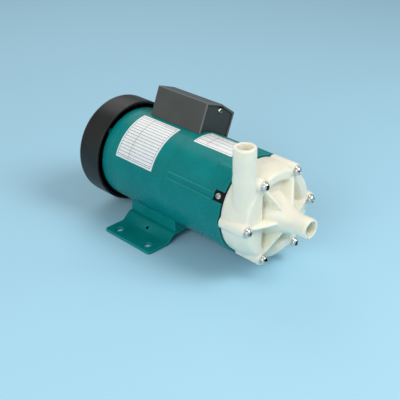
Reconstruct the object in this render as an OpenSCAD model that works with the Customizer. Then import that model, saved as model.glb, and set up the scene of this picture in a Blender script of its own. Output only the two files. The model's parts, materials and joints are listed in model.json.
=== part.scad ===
/* [Motor] */
// Outside radius of the motor body
body_r = 44.5; // [43:0.5:50]
// Wall of the motor frame
frame_wall = 3.5; // [3:0.25:4.5]
// Distance from the foot centre back to the stator core
core_back = 20; // [16:0.5:24]
// Length of the stator and rotor cores
core_len = 45; // [36:0.5:56]
// Radius of the rotor
rotor_r = 22.6; // [20:0.2:25]
// Gap between rotor and stator
air_gap = 0.4; // [0.3:0.05:0.8]
// Number of stator slots
slot_count = 12; // [6:2:18]
// Reach of the winding ends past the core
winding_reach = 11; // [8:0.5:14]
// Length of the rear end shield outside the frame
shield_len = 16; // [15:0.5:20]

/* [Shaft and bearings] */
// Bore of the ball bearings
bearing_id = 10; // [8:1:12]
// Outside diameter of the ball bearings
bearing_od = 30; // [28:1:34]
// Width of the ball bearings
bearing_w = 9; // [8:0.5:11]
// Diameter of the bearing balls
ball_d = 4.8; // [4:0.1:5.2]
// Number of balls in a bearing
ball_count = 8; // [6:1:9]
// Radius of the shaft between its bearings
shaft_mid_r = 6.5; // [6.5:0.25:8]

/* [Fan] */
// Radial air gap between motor body and fan cover
cover_gap = 3; // [2:0.25:6]
// Wall of the fan cover
cover_wall = 2.5; // [2:0.25:3.5]
// Depth of the fan cover
cover_depth = 30.3; // [28:0.5:40]
// Length by which the fan cover overlaps the end shield
cover_overlap = 2.8; // [1:0.2:5]
// Rounding of the fan cover's back edge
cover_round = 6; // [4:0.5:8]
// Radius of the cooling fan
fan_r = 33; // [28:0.5:33.5]
// Width of the cooling fan
fan_w = 14; // [10:0.5:16]
// Number of fan blades
fan_blades = 13; // [7:1:15]

/* [Foot] */
// Height of the top plate of the foot above the floor
foot_rise = 10; // [9:0.5:20]
// Length of the foot along the shaft
foot_len = 63.3; // [56:0.5:76]
// Width of the foot
foot_w = 125.6; // [120:0.5:150]
// Thickness of the foot's sheet
foot_sheet = 2.5; // [2:0.1:3]
// Width of the raised top plate of the foot
foot_top_w = 66; // [60:1:68]
// Spacing of the foot holes along the shaft
hole_pitch_x = 40; // [36:1:44]
// Spacing of the foot holes across the shaft
hole_pitch_y = 108; // [104:1:109]
// Diameter of the foot holes
foot_hole_d = 7; // [5:0.5:8]
// Width of the pad under the motor frame
pad_w = 58.6; // [54:0.2:60]

/* [Terminal box] */
// Lean of the terminal box to the far side, in degrees
box_tilt = 23; // [15:1:30]
// Length of the terminal box
box_len = 65.1; // [62:0.5:75]
// Distance from the box centre line to its near side
box_near = 18; // [17:0.5:20]
// Distance from the box centre line to its far side
box_far = 20.9; // [19:0.1:23]
// Height of the box's near top edge above the body
box_rise = 25.2; // [24:0.2:32]
// Fall of the bevel to the box's far top edge
box_bevel = 5.1; // [3:0.1:7]
// Wall of the terminal box
box_wall = 2; // [1.6:0.1:2.5]

/* [Magnet drive] */
// Length of the magnets
magnet_len = 30; // [24:1:36]
// Radius of the fixed spindle
spindle_r = 4; // [3.5:0.1:4.5]
// Outside radius of the driven magnet
driven_r = 18.3; // [17:0.1:19.5]
// Thickness of the driven magnet
driven_t = 5; // [4:0.25:6]
// Skin of plastic over the driven magnet
capsule_skin = 1.5; // [1.2:0.1:2]
// Water gap around the driven magnet
can_gap = 1.2; // [0.8:0.1:1.6]
// Wall of the rear casing's can
can_wall = 1.8; // [1.4:0.1:2.4]
// Air gap between can and drive magnets
drive_gap = 1.2; // [0.8:0.1:1.6]
// Thickness of the drive magnets
drive_t = 3.5; // [3:0.1:4]
// Number of drive magnets
drive_count = 6; // [4:2:8]
// Wall of the drive magnet cup
cup_wall = 3.5; // [3:0.1:4]

/* [Pump head] */
// Radius of the impeller
impeller_r = 29.5; // [28.5:0.5:33]
// Width of the impeller
impeller_w = 10; // [9:0.5:12]
// Number of impeller vanes
vane_count = 6; // [4:1:8]
// Gap between impeller and casing wall
chamber_gap = 3.5; // [3:0.25:5]
// Wall of the pump casing's front
casing_wall = 3; // [2.5:0.25:4]
// Number of casing screws
screw_count = 6; // [3:3:6]
// Radius of a casing screw boss
boss_r = 5.9; // [5:0.1:6.5]
// Radius of the casing's dished front
dish_r = 31.5; // [29:0.5:32]
// Depth of the casing's dished front
dish_depth = 7; // [5.5:0.25:9]
// Thickness of the front ribs
rib_t = 2.8; // [2:0.1:4]
// Outside radius of the outlet spigot
outlet_r = 9.75; // [9:0.25:11]
// Outside radius of the inlet spigot
inlet_r = 9; // [8.5:0.25:10]
// Bore radius of the inlet
inlet_bore_r = 6.5; // [5.5:0.1:7]
// Bore radius of the outlet
outlet_bore_r = 6.5; // [5.5:0.1:7]
// Reach of the inlet past the casing flange
inlet_reach = 34; // [30:0.5:45]
// Height of the outlet's top above the shaft
outlet_top = 69.2; // [60:0.2:80]
// Distance of the outlet axis behind the casing flange
outlet_setback = 12.8; // [12:0.1:14]

/* [Clearances] */
// Radial clearance of parts that are pressed or slipped together
fit_gap = 0.03; // [0.02:0.01:0.05]
// Radial clearance of screws in their threads
thread_gap = 0.06; // [0.04:0.01:0.1]
// Radial running clearance of the impeller bush
run_gap = 0.05; // [0.03:0.01:0.1]
// Clearance of balls in their tracks
ball_gap = 0.15; // [0.1:0.01:0.2]
// Axial play of the impeller at each end
axial_play = 0.5; // [0.3:0.1:0.8]

/* [Hidden] */
$fn = 96;

teal = [0.03, 0.46, 0.47];
black = [0.09, 0.09, 0.09];
charcoal = [0.22, 0.23, 0.22];
ivory = [0.90, 0.92, 0.86];
steel = [0.75, 0.76, 0.78];
copper = [0.72, 0.42, 0.22];
magnet_grey = [0.30, 0.30, 0.32];
ceramic_white = [0.94, 0.93, 0.90];
label_white = [0.93, 0.94, 0.94];

// cut overrun, so that no cut ends flush with a face
over = 1;
// depth by which joined solids run into each other
sink = 0.5;

// Stations along the shaft, from the fan cover to the inlet
core_x0 = -core_back;
core_x1 = core_x0 + core_len;
end_space = 9;
front_space = 6.5;
frame_x0 = core_x0 - winding_reach - end_space;
frame_x1 = core_x1 + front_space;
shield_x0 = frame_x0 - shield_len;
cover_x1 = shield_x0 + cover_overlap;
cover_x0 = cover_x1 - cover_depth;
bearing_step = 1;
rear_bearing_x1 = frame_x0 + bearing_step;
rear_bearing_x0 = rear_bearing_x1 - bearing_w;
preload_t = 1.5;
winding_gap = 4;
web_lip = 2;
web_x0 = core_x1 + winding_reach + winding_gap;
front_bearing_x0 = web_x0 + web_lip;
front_bearing_x1 = front_bearing_x0 + bearing_w;
web_x1 = front_bearing_x1 + web_lip;
hub_gap = 1;
hub_x0 = web_x1 + hub_gap;
hub_t = 8;
cup_spare = 4;
cup_x0 = hub_x0 + hub_t;
cup_x1 = cup_x0 + magnet_len + cup_spare;
magnet_x0 = cup_x0 + cup_spare / 2;
can_end_gap = 4;
can_end_t = 2;
can_x0 = cup_x0 + can_end_gap;
rim_gap = 5.5;
housing_x1 = cup_x1 + rim_gap;
adapter_t = 1;
casing_x0 = housing_x1 + adapter_t;
can_flange_t = 3;
can_face = casing_x0 + can_flange_t;
impeller_gap = 2;
impeller_x0 = can_face + impeller_gap;
impeller_x1 = impeller_x0 + impeller_w;
thrust_t = 1.5;
front_gap = 0.5;
chamber_x1 = impeller_x1 + axial_play + thrust_t + front_gap;
dish_x = chamber_x1 + casing_wall;
flange_x = dish_x + dish_depth;
inlet_tip = flange_x + inlet_reach;

// Heights
foot_top = foot_rise;
pad_drop = 0.5;
shaft_h = foot_top + pad_drop + body_r;

// Motor radii
frame_in_r = body_r - frame_wall;
stator_r = frame_in_r - fit_gap;
stator_bore_r = rotor_r + air_gap;
tooth_tip = 3;
slot_depth = 8.5;
slot_share = 0.52;
slot_in_r = stator_bore_r + tooth_tip;
slot_out_r = slot_in_r + slot_depth;
slot_w = slot_share * 2 * PI * slot_in_r / slot_count;
slot_mouth = 2.4;
liner_t = 0.3;
end_ring_inset = 1;
end_ring_t = 8;
end_ring_len = 6;
spigot_wall = 4;
spigot_ring_r = frame_in_r - spigot_wall;
spigot_len = 3.5;
bolt_clear = 0.3;
screw_clear = 0.2;
head_clear = 0.4;
tap_spare = 1;
tie_bolt_r = 1.5;
tie_inset = 3.1;
tie_count = 4;
tie_head_r = 2.8;
tie_head_h = 2.2;
tie_sink = 2;
tie_reach = 9;
tie_seat_x = shield_x0 + tie_head_h + tie_sink;
shield_round = 6;
shield_wall = 3;
shield_hollow = 5;
shield_cove = 2.5;
shield_cone = 2;
shield_in_x = frame_x0 - shield_hollow;
pocket_wall = 4;
shaft_space = 3;
lug_r = 3.8;
lug_inset = 6.5;
lug_circle_r = body_r - lug_inset;
lug_len = 2;
lug_x0 = shield_x0 - lug_len;
seam_bevel = 0.2;

// Bearings and shaft
shaft_r = bearing_id / 2;
race_r = bearing_od / 2;
ball_r = ball_d / 2;
pitch_r = (shaft_r + race_r) / 2;
race_lip = 0.75 * ball_r;
cage_t = 0.34 * ball_r;
cage_recess = 1.3;
cage_half_w = 0.5 * bearing_w - cage_recess;
pocket_gap = 0.12;
clip_t = 1;
clip_depth = 0.8;
clip_rim = 2.2;
clip_r = shaft_r - clip_depth;
end_bevel = 0.6;
washer_inset = 0.2;

// Fan
cover_r = body_r + cover_gap + cover_wall;
fan_space = 4.5;
fan_x0 = cover_x0 + cover_wall + fan_space;
fan_x1 = fan_x0 + fan_w;
fan_hub_wall = 4;
fan_hub_r = shaft_r + fan_hub_wall;
fan_disc_t = 2;
fan_disc_inset = 2;
fan_blade_t = 1.8;
fan_shroud_t = 1.5;
fan_eye_r = 16;
shaft_stub = 2.6;
shaft_x0 = fan_x0 - shaft_stub;
shaft_x1 = cup_x0;
post_r = 3.4;
post_screw_r = 1.5;
post_head_r = 2.6;
post_head_h = 1.8;
post_count = 4;
post_angle = 45;
post_seat_x = cover_x0 + post_head_h + head_clear;
grille_rings = 4;
grille_slot = 1.8;
grille_rib = 2.4;
grille_in_r = 8;
grille_spoke = 3;

// Foot section across the shaft
web_run = 7.5;
bend_run = 3;
bend_drop = 1;
bend_in = 2;
foot_corner = 3;
pad_inset = 1;
pad_root = 0.6;
foot_screw_r = 2.5;
foot_screw_x = 20;
foot_screw_y = 19;
foot_head_r = 4.2;
foot_head_h = 2.6;
foot_tap = 7;
web_hole_r = 1.7;

// Reach of the terminal box behind the core
box_overhang = 9.8;

// Labels
label_t = 0.3;
label_seat = 0.03;
plate_inset = 6.5;
plate_x0 = frame_x0 + plate_inset;
plate_len = 49;
plate_a0 = 96;
plate_a1 = 159;
label_gap = 4.2;
label_inset = 16.5;
label_x0 = core_x0 - box_overhang + box_len + label_gap;
label_x1 = housing_x1 - label_inset;
label_a0 = 75;
label_a1 = 105;

// Terminal box, across (y) and out from the shaft (z) in the box's own frame
box_x0 = core_x0 - box_overhang;
box_x1 = box_x0 + box_len;
box_top = body_r + box_rise;
box_ridge_y = 2;
box_ridge_rise = 1;
box_seat = 0.05;
box_floor_t = 2.5;
box_floor = body_r + box_floor_t;
box_skirt = 8;
box_low = body_r - box_skirt;
wall_recess = 1.2;
end_wall_x0 = box_x0 + wall_recess;
end_wall_x1 = box_x1 - wall_recess;
lid_gap = 0.15;
lid_screw_y = 1.6;
lid_screw_drop = 5;
lid_screw_r = 1.4;
lid_head_r = 2.4;
lid_head_h = 1.6;
lid_lug_len = 6;
lid_lug_w = 9;
lid_lug_drop = 4;
lid_screw_z = box_top - lid_screw_drop;
notch_w = 3.6;
lead_hole_r = 5;
lead_hole_x = (box_x0 + box_x1) / 2;
mount_inset = 2.8;
mount_tip = 1;
mount_screw_x = end_wall_x0 + box_wall + mount_inset;
mount_screw_y = 10;
mount_screw_r = 1.4;
mount_head_r = 2.4;
mount_head_h = 1.6;
block_len = 10;
block_w = 24;
block_h = 9;
block_ways = 3;
block_gap = 1.5;
block_screw_r = 2;
block_screw_depth = 4;
block_wire_r = 1.5;
block_wire_z = 3;
block_x0 = end_wall_x1 - box_wall - block_gap - block_len;
cap_gap = 3;
cap_side_gap = 2;
cap_lead_r = 1.2;
cap_lead_len = 2;
cap_w = 17;
cap_h = 14;
cap_x0 = mount_screw_x + mount_head_r + cap_gap;
cap_x1 = block_x0 - cap_lead_len - cap_gap;
cap_y0 = -box_near + box_wall + cap_side_gap;

// Cable gland, on the far side of the terminal box
gland_inset = 21.8;
gland_rise = 12;
gland_x = box_x0 + gland_inset;
gland_z = body_r + gland_rise;
gland_thread_r = 5.5;
gland_bore_r = 4.2;
gland_hex_r = 7.6;
gland_hex_t = 4;
gland_inside = 5;
gland_locknut_t = 3;
gland_tube = 6;
gland_nut_r = 7.2;
gland_nut_dome = 3;
gland_end_gap = 0.1;
gland_seal_len = 7;
gland_mouth_r = 3.8;
cable_hole_r = 3.5;
gland_face_gap = 0.3;
gland_dome_step = 1;
gland_lip = 1.2;
gland_y0 = box_far;
gland_in_y = gland_y0 - box_wall;
gland_nut_y0 = gland_y0 + gland_hex_t + gland_face_gap;
gland_tube_y1 = gland_y0 + gland_hex_t + gland_tube;
gland_nut_y1 = gland_tube_y1 + gland_end_gap;

// Pump head radii
chamber_r = impeller_r + chamber_gap;
o_ring_r = 0.9;
groove_side = 0.2;
flange_ledge = 3.5;
o_ring_track_r = chamber_r + flange_ledge / 2;
can_flange_r = chamber_r + flange_ledge;
screw_inset = 3.5;
screw_circle_r = can_flange_r + screw_inset;
casing_screw_r = 2;
casing_hole_r = casing_screw_r + screw_clear;
casing_rim = 3;
casing_r = screw_circle_r + casing_rim;
casing_band = 11.5;
rim_inset = 0.5;
rim_r = screw_circle_r - rim_inset;
rim_round = 2;
boss_rise = 1.5;
boss_step = 0.4;
rim_x = flange_x - boss_rise;
dish_slope = 3.5;
boss_len = 17;
tap_depth = 13;
housing_rim = 4;
housing_in_r = screw_circle_r - housing_rim;
housing_step = 1.5;
housing_r = casing_r + housing_step;
tie_circle_r = min(frame_in_r, housing_r - frame_wall) - tie_inset;
step_gap = 0.2;
step_len = 1;
step_x0 = max(frame_x1 + seam_bevel, box_x1) + step_gap;
housing_back = 3.5;
housing_back_r = frame_in_r - housing_back;
housing_cove = 2;
cavity_wall = 6;
cavity_r = race_r + cavity_wall;
cavity_x0 = web_x1 + hub_gap;
cavity_x1 = cavity_x0 + housing_cove;
seal_space = 4;
adapter_ledge = 10;
adapter_inset = 0.5;
adapter_in_r = can_flange_r - adapter_ledge;

// Latch tabs between adapter ring and housing
latch_angles = [28, 152, 270];
latch_len = 10;
latch_w = 9.4;
latch_gap = 0.2;
latch_floor = 4;
latch_inset = 1.2;
latch_x0 = housing_x1 - latch_len;
latch_screw_x = housing_x1 - latch_len / 2;
latch_r = housing_in_r + latch_floor;
latch_top_r = housing_r - latch_inset;
latch_screw_r = 1.4;
latch_head_r = 2.8;
latch_head_h = 1.8;
latch_tap = 3.5;
strip_w = 7.1;
strip_angles = [26, 154];
strip_ridge = 1.5;
strip_h = 1.2;
strip_root = 2;
strip_x0 = step_x0 + step_len;

// Magnet drive radii
bush_wall = 2;
bush_r = spindle_r + bush_wall;
capsule_r = driven_r + capsule_skin;
driven_in_r = driven_r - driven_t;
can_in_r = capsule_r + can_gap;
can_r = can_in_r + can_wall;
drive_in_r = can_r + drive_gap;
drive_r = drive_in_r + drive_t;
cup_r = drive_r + cup_wall;
cup_floor = 3;
cup_bevel = 2;
hub_wall = 7;
hub_r = shaft_r + hub_wall;
set_screw_r = 2;
set_screw_inset = 2.5;
set_screw_sink = 1;
set_screw_socket = 2;
set_screw_x = hub_x0 + set_screw_inset;
magnet_space = 8;
can_round = 2;
can_boss_len = 4;
can_boss_wall = 4;
boss_x1 = can_x0 + can_end_t + can_boss_len;
can_boss_r = spindle_r + can_boss_wall;
spindle_floor = 1.2;
spindle_x0 = can_x0 + spindle_floor;
capsule_x0 = boss_x1 + thrust_t + axial_play;
capsule_x1 = impeller_x0;
cap_t = 2;
driven_x0 = capsule_x0 + cap_t;
driven_x1 = driven_x0 + magnet_len - cap_t;
bush_x1 = impeller_x1;
thrust_wall = 3.5;
thrust_r = spindle_r + thrust_wall;
spider_x0 = impeller_x1 + axial_play + thrust_t;
spider_len = 6;
spider_wall = 2.5;
spider_hub_r = spindle_r + spider_wall;
spider_vane_t = 2;
spider_count = 3;
spider_angle = 30;
spindle_seat = 4;
spindle_x1 = spider_x0 + spindle_seat;

// Impeller and inlet
eye_r = 12.5;
impeller_hub_wall = 2;
impeller_hub_r = bush_r + impeller_hub_wall;
vane_root = 2;
shroud_t = 2.4;
vane_t = 2;
vane_lean = 38;
throat_r = 11;
throat_depth = 6;
throat_x1 = dish_x + throat_depth;
throat_taper = 8;
flare_r = 19;
flare_len = 28;
flare_power = 1.3;
flare_steps = 8;
spigot_lip = 1.5;
rib_rise = 11.5;
rib_root = 2;
rib_in_r = inlet_r - rib_root;
rib_out_r = screw_circle_r - boss_r + sink;
outlet_x = flange_x - outlet_setback;
outlet_inset = 3.5;
outlet_y = -(chamber_r - outlet_inset);
outlet_run = 3;
outlet_neck = 0.5;
outlet_neck_fall = 4;
outlet_neck_r = outlet_r + outlet_neck;
outlet_neck_z = casing_r + outlet_neck;
outlet_throat_r = 4;
outlet_throat_z = 24;
washer_r = 4.6;
washer_t = 0.9;
casing_head_r = 3.7;
casing_head_h = 2.6;

// Children turned about the shaft, their own Z axis along +X
module on_shaft() {
    translate([0, 0, shaft_h]) rotate([0, 90, 0]) children();
}

// Solid of revolution about the shaft, from points [radius, x]
module turned(points) {
    on_shaft() rotate_extrude() polygon(points);
}

// Plain ring about the shaft
module ring(r_out, r_in, x0, x1) {
    turned([[r_in, x0], [r_out, x0], [r_out, x1], [r_in, x1]]);
}

// Plain rod about the shaft
module rod(r, x0, x1) {
    translate([x0, 0, shaft_h]) rotate([0, 90, 0]) cylinder(r = r, h = x1 - x0);
}

// Local frame at an angle about the shaft: y points out, x along the shaft
module around(angle) {
    translate([0, 0, shaft_h]) rotate([angle, 0, 0]) children();
}

// Copies on a circle about the shaft
module circle_of(count, radius, start = 0) {
    for (i = [0 : count - 1]) {
        around(start + 360 * i / count) translate([0, radius, 0]) children();
    }
}

// Rod along the shaft direction in a local frame
module peg(r, x0, x1) {
    translate([x0, 0, 0]) rotate([0, 90, 0]) cylinder(r = r, h = x1 - x0);
}

// Screw with a cross recess, its head's seat at z = 0 and its head upwards
module screw(head_r, head_h, shank_r, length) {
    slot_l = 1.25 * head_r;
    slot_t = 0.26 * head_r;
    difference() {
        union() {
            rotate_extrude() polygon([
                [0, 0], [head_r, 0], [head_r, 0.45 * head_h], [0.72 * head_r, head_h], [0, head_h]
            ]);
            translate([0, 0, -length]) cylinder(r = shank_r, h = length + sink);
        }
        for (a = [0, 90]) {
            rotate([0, 0, a])
                translate([-slot_l / 2, -slot_t / 2, 0.45 * head_h]) cube([slot_l, slot_t, head_h]);
        }
    }
}

// Frame of the terminal box: z points out from the shaft, y to the far side
module box_frame() {
    translate([0, 0, shaft_h]) rotate([-box_tilt, 0, 0]) children();
}

// Section of the terminal box, inset from its outside
function box_section(inset, bottom) = [
    [-box_near + inset, bottom],
    [-box_near + inset, box_top - inset],
    [box_ridge_y, box_top + box_ridge_rise - inset],
    [box_far - inset, box_top - box_bevel + box_ridge_rise - inset],
    [box_far - inset, bottom]
];

// Slab of the terminal box's section along the shaft
module box_slab(inset, bottom, x0, x1) {
    translate([x0, 0, 0]) rotate([90, 0, 90]) linear_extrude(x1 - x0) polygon(box_section(inset, bottom));
}

// Six-sided bar in the box frame, along y
module hex_bar(r, y0, y1) {
    translate([0, y0, 0]) rotate([-90, 0, 0]) cylinder(r = r, h = y1 - y0, $fn = 6);
}

// Round bar in the box frame, along y
module cross_bar(r, y0, y1) {
    translate([0, y0, 0]) rotate([-90, 0, 0]) cylinder(r = r, h = y1 - y0);
}

// Stations of the gland on the terminal box
module at_gland() {
    box_frame() translate([gland_x, 0, gland_z]) children();
}

// Section of the casing through its bosses
module boss_section(x0, x1) {
    translate([x0, 0, shaft_h]) rotate([90, 0, 90]) linear_extrude(x1 - x0) {
        circle(r = rim_r - rim_round - sink);
        for (i = [0 : screw_count - 1]) {
            rotate(360 * i / screw_count) translate([screw_circle_r, 0]) circle(r = boss_r);
        }
    }
}

module casing_holes(r, x0, x1) {
    circle_of(screw_count, screw_circle_r) peg(r, x0, x1);
}

module tie_holes(r, x0, x1) {
    circle_of(tie_count, tie_circle_r) peg(r, x0, x1);
}

// Ball bearing parts, from x0
module outer_race(x0) {
    mid = x0 + bearing_w / 2;
    difference() {
        ring(race_r - fit_gap, pitch_r + race_lip, x0, x0 + bearing_w);
        ball_track(mid);
    }
}

module inner_race(x0) {
    mid = x0 + bearing_w / 2;
    difference() {
        ring(pitch_r - race_lip, shaft_r + fit_gap, x0, x0 + bearing_w);
        ball_track(mid);
    }
}

module ball_track(mid) {
    on_shaft() rotate_extrude() translate([pitch_r, mid]) circle(r = ball_r + ball_gap);
}

module ball_set(x0) {
    circle_of(ball_count, pitch_r) translate([x0 + bearing_w / 2, 0, 0]) sphere(r = ball_r);
}

module ball_cage(x0) {
    mid = x0 + bearing_w / 2;
    difference() {
        ring(pitch_r + cage_t, pitch_r - cage_t, mid - cage_half_w, mid + cage_half_w);
        circle_of(ball_count, pitch_r) translate([mid, 0, 0]) rotate([90, 0, 0])
            cylinder(r = ball_r + pocket_gap, h = 4 * cage_t, center = true);
    }
}

// Bent sheet on the motor body, as an arc about the shaft
module wrap(r, t, x0, x1, a0, a1) {
    on_shaft() rotate([0, 0, 90 + a0]) rotate_extrude(angle = a1 - a0) polygon([
        [r, x0], [r + t, x0], [r + t, x1], [r, x1]
    ]);
}

module motor_frame() {
    color(teal) difference() {
        union() {
            turned([
                [frame_in_r - sink, frame_x0], [body_r - seam_bevel, frame_x0],
                [body_r, frame_x0 + seam_bevel], [body_r, frame_x1 - seam_bevel],
                [body_r - seam_bevel, frame_x1], [frame_in_r - sink, frame_x1]
            ]);
            translate([-foot_len / 2 + pad_inset, -pad_w / 2, foot_top])
                cube([foot_len - 2 * pad_inset, pad_w, shaft_h - foot_top - pad_root * body_r]);
        }
        rod(frame_in_r, frame_x0 - over, frame_x1 + over);
        rod(body_r + over, frame_x1, frame_x1 + foot_len);
        for (x = [-1, 1]) for (y = [-1, 1]) {
            translate([x * foot_screw_x, y * foot_screw_y, foot_top - over])
                cylinder(r = foot_screw_r + thread_gap, h = foot_tap + over);
        }
        box_frame() translate([lead_hole_x, 0, 0]) cylinder(r = lead_hole_r, h = body_r + over);
        mount_screw_cuts(mount_screw_r + thread_gap);
    }
}

module mount_screw_cuts(r) {
    box_frame() for (y = [-1, 1]) {
        translate([mount_screw_x, y * mount_screw_y, body_r - 3 * frame_wall])
            cylinder(r = r, h = 4 * frame_wall);
    }
}

module rear_end_shield() {
    seat_x0 = rear_bearing_x0 - preload_t;
    color(teal) difference() {
        union() {
            turned(concat(
                [[shaft_r + shaft_space, shield_x0 + shield_wall], [shaft_r + shaft_space, seat_x0]],
                [[race_r, seat_x0], [race_r, rear_bearing_x1], [race_r + pocket_wall, rear_bearing_x1]],
                [[race_r + pocket_wall, shield_in_x], [spigot_ring_r - shield_cove, shield_in_x]],
                [[spigot_ring_r, shield_in_x + shield_cove], [spigot_ring_r, frame_x0 + spigot_len]],
                [[frame_in_r - fit_gap, frame_x0 + spigot_len], [frame_in_r - fit_gap, frame_x0]],
                [[body_r - seam_bevel, frame_x0], [body_r, frame_x0 - seam_bevel]],
                [for (a = [0 : 15 : 90]) [
                    body_r - shield_round + shield_round * cos(a),
                    shield_x0 + shield_round - shield_round * sin(a)
                ]],
                [[race_r + shield_cone, shield_x0], [race_r, shield_x0 + shield_wall]]
            ));
            circle_of(post_count, lug_circle_r, post_angle) peg(lug_r, lug_x0, shield_x0 + shield_round);
        }
        circle_of(post_count, lug_circle_r, post_angle)
            peg(post_screw_r + thread_gap, lug_x0 - over, shield_x0 + shield_round);
        tie_holes(tie_bolt_r + bolt_clear, shield_x0 - over, frame_x0 + spigot_len + over);
        tie_holes(tie_head_r + head_clear, shield_x0 - over, tie_seat_x);
    }
}

module tie_bolts() {
    color(steel) circle_of(tie_count, tie_circle_r) translate([tie_seat_x, 0, 0]) rotate([0, -90, 0])
        screw(tie_head_r, tie_head_h, tie_bolt_r, web_x0 + tie_reach - tie_seat_x);
}

module front_housing() {
    color(teal) difference() {
        union() {
            turned([
                [housing_back_r, frame_x1 - spigot_len], [frame_in_r - fit_gap, frame_x1 - spigot_len],
                [frame_in_r - fit_gap, frame_x1], [body_r - seam_bevel, frame_x1],
                [body_r, frame_x1 + seam_bevel], [body_r, step_x0], [housing_r, strip_x0],
                [housing_r, housing_x1], [housing_in_r, housing_x1],
                [housing_in_r, cavity_x1], [cavity_r, cavity_x0], [cavity_r, web_x1],
                [shaft_r + seal_space, web_x1], [shaft_r + seal_space, front_bearing_x1],
                [race_r, front_bearing_x1], [race_r, web_x0],
                [housing_back_r - housing_cove, web_x0], [housing_back_r, web_x0 - housing_cove]
            ]);
            circle_of(screw_count, screw_circle_r) {
                peg(boss_r, housing_x1 - boss_len, housing_x1);
                translate([housing_x1 - boss_len, 0, 0]) sphere(r = boss_r);
            }
            for (a = strip_angles) around(a) for (side = [-1, 1]) {
                ridge_z = (side * (strip_w - strip_ridge) - strip_ridge) / 2;
                translate([strip_x0, housing_r - strip_root, ridge_z])
                    cube([latch_x0 - strip_x0, strip_root + strip_h, strip_ridge]);
            }
        }
        turned([
            [0, cavity_x0], [cavity_r, cavity_x0], [housing_in_r, cavity_x1],
            [housing_in_r, housing_x1 + over], [0, housing_x1 + over]
        ]);
        casing_holes(casing_screw_r + thread_gap, housing_x1 - tap_depth, housing_x1 + over);
        tie_holes(tie_bolt_r + thread_gap, frame_x1 - spigot_len - over, web_x0 + tie_reach + tap_spare);
        for (a = latch_angles) around(a) {
            translate([latch_x0, latch_r, -latch_w / 2]) cube([latch_len + over, housing_r, latch_w]);
            translate([latch_screw_x, latch_r - latch_tap, 0]) rotate([-90, 0, 0])
                cylinder(r = latch_screw_r + thread_gap, h = latch_tap + over);
        }
    }
}

module adapter_ring() {
    color(black) difference() {
        union() {
            ring(casing_r - adapter_inset, adapter_in_r, housing_x1, casing_x0);
            circle_of(screw_count, screw_circle_r) peg(boss_r - adapter_inset, housing_x1, casing_x0);
            for (a = latch_angles) around(a) {
                translate([latch_x0 + latch_gap, latch_r, -latch_w / 2 + latch_gap])
                    cube([latch_len - latch_gap + sink, latch_top_r - latch_r, latch_w - 2 * latch_gap]);
            }
        }
        casing_holes(casing_hole_r, housing_x1 - over, casing_x0 + over);
        for (a = latch_angles) around(a) {
            translate([latch_screw_x, latch_r - over, 0]) rotate([-90, 0, 0])
                cylinder(r = latch_screw_r + thread_gap, h = housing_r);
        }
    }
}

module adapter_screws() {
    length = latch_top_r - latch_r + latch_tap - tap_spare;
    color(steel) for (a = latch_angles) around(a) {
        translate([latch_screw_x, latch_top_r, 0]) rotate([-90, 0, 0])
            screw(latch_head_r, latch_head_h, latch_screw_r, length);
    }
}

module stator_core() {
    tooth = slot_in_r - stator_bore_r;
    color(steel) difference() {
        translate([core_x0, 0, shaft_h]) rotate([90, 0, 90]) linear_extrude(core_len) difference() {
            circle(r = stator_r);
            circle(r = stator_bore_r);
            for (i = [0 : slot_count - 1]) rotate((i + 0.5) * 360 / slot_count) {
                translate([slot_in_r, -slot_w / 2]) square([slot_out_r - slot_in_r, slot_w]);
                translate([stator_bore_r - over, -slot_mouth / 2]) square([tooth + 2 * over, slot_mouth]);
            }
        }
        tie_holes(tie_bolt_r + bolt_clear, core_x0 - over, core_x1 + over);
    }
}

module stator_windings() {
    in_r = slot_in_r + liner_t;
    out_r = slot_out_r - liner_t;
    color(copper) {
        ring(out_r, in_r, core_x0 - winding_reach, core_x0 - liner_t);
        ring(out_r, in_r, core_x1 + liner_t, core_x1 + winding_reach);
        translate([core_x0 - liner_t - sink, 0, shaft_h]) rotate([90, 0, 90])
            linear_extrude(core_len + 2 * (liner_t + sink)) for (i = [0 : slot_count - 1]) {
                rotate((i + 0.5) * 360 / slot_count) translate([in_r, -slot_w / 2 + liner_t])
                    square([out_r - in_r - liner_t, slot_w - 2 * liner_t]);
            }
    }
}

module rotor_core() {
    color(steel) ring(rotor_r, shaft_mid_r + fit_gap, core_x0, core_x1);
}

module rotor_end_rings() {
    r = rotor_r - end_ring_inset;
    color(magnet_grey) {
        ring(r, r - end_ring_t, core_x0 - end_ring_len, core_x0);
        ring(r, r - end_ring_t, core_x1, core_x1 + end_ring_len);
    }
}

module motor_shaft() {
    color(steel) turned([
        [0, shaft_x0], [shaft_r - end_bevel, shaft_x0], [shaft_r, shaft_x0 + end_bevel],
        [shaft_r, fan_x0 - clip_t], [clip_r, fan_x0 - clip_t], [clip_r, fan_x0], [shaft_r, fan_x0],
        [shaft_r, rear_bearing_x1], [shaft_mid_r, rear_bearing_x1],
        [shaft_mid_r, front_bearing_x0], [shaft_r, front_bearing_x0], [shaft_r, shaft_x1], [0, shaft_x1]
    ]);
}

module rear_bearing_outer_race() { color(steel) outer_race(rear_bearing_x0); }
module rear_bearing_inner_race() { color(steel) inner_race(rear_bearing_x0); }
module rear_bearing_balls() { color(steel) ball_set(rear_bearing_x0); }
module rear_bearing_cage() { color(copper) ball_cage(rear_bearing_x0); }
module front_bearing_outer_race() { color(steel) outer_race(front_bearing_x0); }
module front_bearing_inner_race() { color(steel) inner_race(front_bearing_x0); }
module front_bearing_balls() { color(steel) ball_set(front_bearing_x0); }
module front_bearing_cage() { color(copper) ball_cage(front_bearing_x0); }

module preload_washer() {
    r = race_r - washer_inset;
    color(steel) ring(r, pitch_r + race_lip, rear_bearing_x0 - preload_t, rear_bearing_x0);
}

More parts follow.
